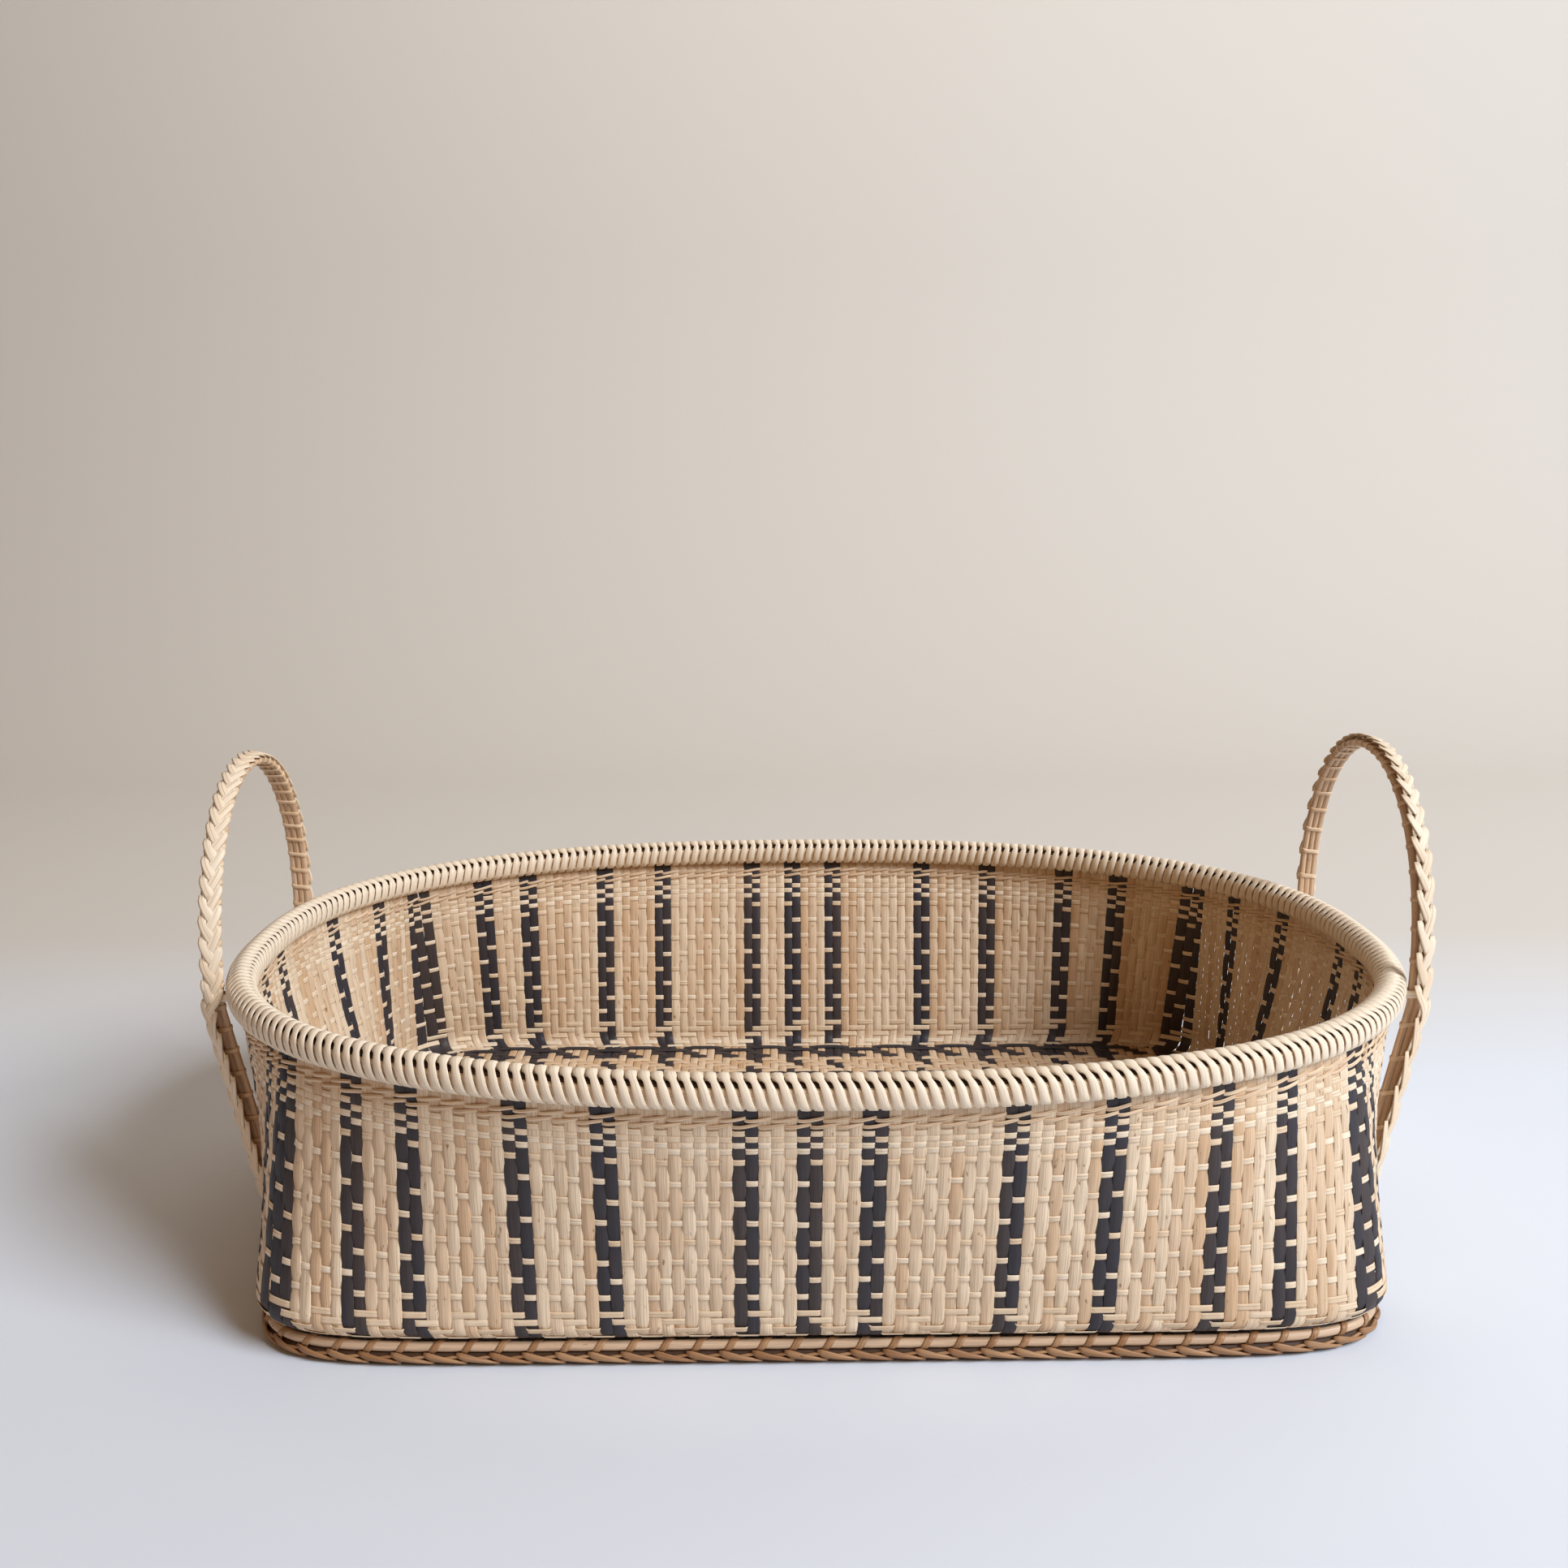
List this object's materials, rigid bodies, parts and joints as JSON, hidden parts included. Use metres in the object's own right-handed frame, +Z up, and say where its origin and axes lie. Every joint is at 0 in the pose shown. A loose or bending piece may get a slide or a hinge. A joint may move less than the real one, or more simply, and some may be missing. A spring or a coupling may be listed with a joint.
{
  "type": "basket tray",
  "caption": "Oval woven cane basket tray with dark dyed stripes, a lashed rim, a plaited rod foot and a fixed arched handle at each end.",
  "frame": {"origin": "on the surface that the basket stands on, below the middle of the rim", "axes": "+X along the basket from one handle to the other, -Y out of the front long side, +Z up"},
  "size_m": [0.652, 0.4462, 0.2703],
  "materials": {
    "floor_strip": "matte split cane",
    "wall_strip": "satin split cane",
    "dyed_strip": "matte dyed split cane",
    "rim_hoop": "satin rattan core",
    "lashing_cane": "satin peeled cane",
    "foot_rod": "satin rattan rod",
    "foot_cane": "satin aged cane",
    "handle_rod": "satin split rattan",
    "handle_cane": "satin peeled cane"
  },
  "bodies": {
    "root": {"base_mat": "floor_strip", "wall_front": "wall_strip", "dyed_front_01": "dyed_strip", "dyed_front_02": "dyed_strip", "dyed_front_03": "dyed_strip", "dyed_front_04": "dyed_strip", "dyed_front_05": "dyed_strip", "dyed_front_06": "dyed_strip", "dyed_front_07": "dyed_strip", "dyed_front_08": "dyed_strip", "dyed_front_09": "dyed_strip", "dyed_front_10": "dyed_strip", "dyed_front_11": "dyed_strip", "wall_right": "wall_strip", "dyed_right_01": "dyed_strip", "dyed_right_02": "dyed_strip", "dyed_right_03": "dyed_strip", "dyed_right_04": "dyed_strip", "dyed_right_05": "dyed_strip", "dyed_right_06": "dyed_strip", "dyed_right_07": "dyed_strip", "wall_back": "wall_strip", "dyed_back_01": "dyed_strip", "dyed_back_02": "dyed_strip", "dyed_back_03": "dyed_strip", "dyed_back_04": "dyed_strip", "dyed_back_05": "dyed_strip", "dyed_back_06": "dyed_strip", "dyed_back_07": "dyed_strip", "dyed_back_08": "dyed_strip", "dyed_back_09": "dyed_strip", "dyed_back_10": "dyed_strip", "dyed_back_11": "dyed_strip", "wall_left": "wall_strip", "dyed_left_01": "dyed_strip", "dyed_left_02": "dyed_strip", "dyed_left_03": "dyed_strip", "dyed_left_04": "dyed_strip", "dyed_left_05": "dyed_strip", "dyed_left_06": "dyed_strip", "dyed_left_07": "dyed_strip", "dyed_corner_front_right": "dyed_strip", "dyed_corner_back_right": "dyed_strip", "dyed_corner_back_left": "dyed_strip", "dyed_corner_front_left": "dyed_strip", "rim_hoop_outer": "rim_hoop", "rim_hoop_inner": "rim_hoop", "rim_lashing": "lashing_cane", "rim_ridge": "lashing_cane", "foot_rod": "foot_rod", "foot_plait": "foot_cane", "handle_left_rod_1": "handle_rod", "handle_left_rod_2": "handle_rod", "handle_left_rod_3": "handle_rod", "handle_left_plait": "handle_cane", "handle_right_rod_1": "handle_rod", "handle_right_rod_2": "handle_rod", "handle_right_rod_3": "handle_rod", "handle_right_plait": "handle_cane"}
  },
  "joints": []
}
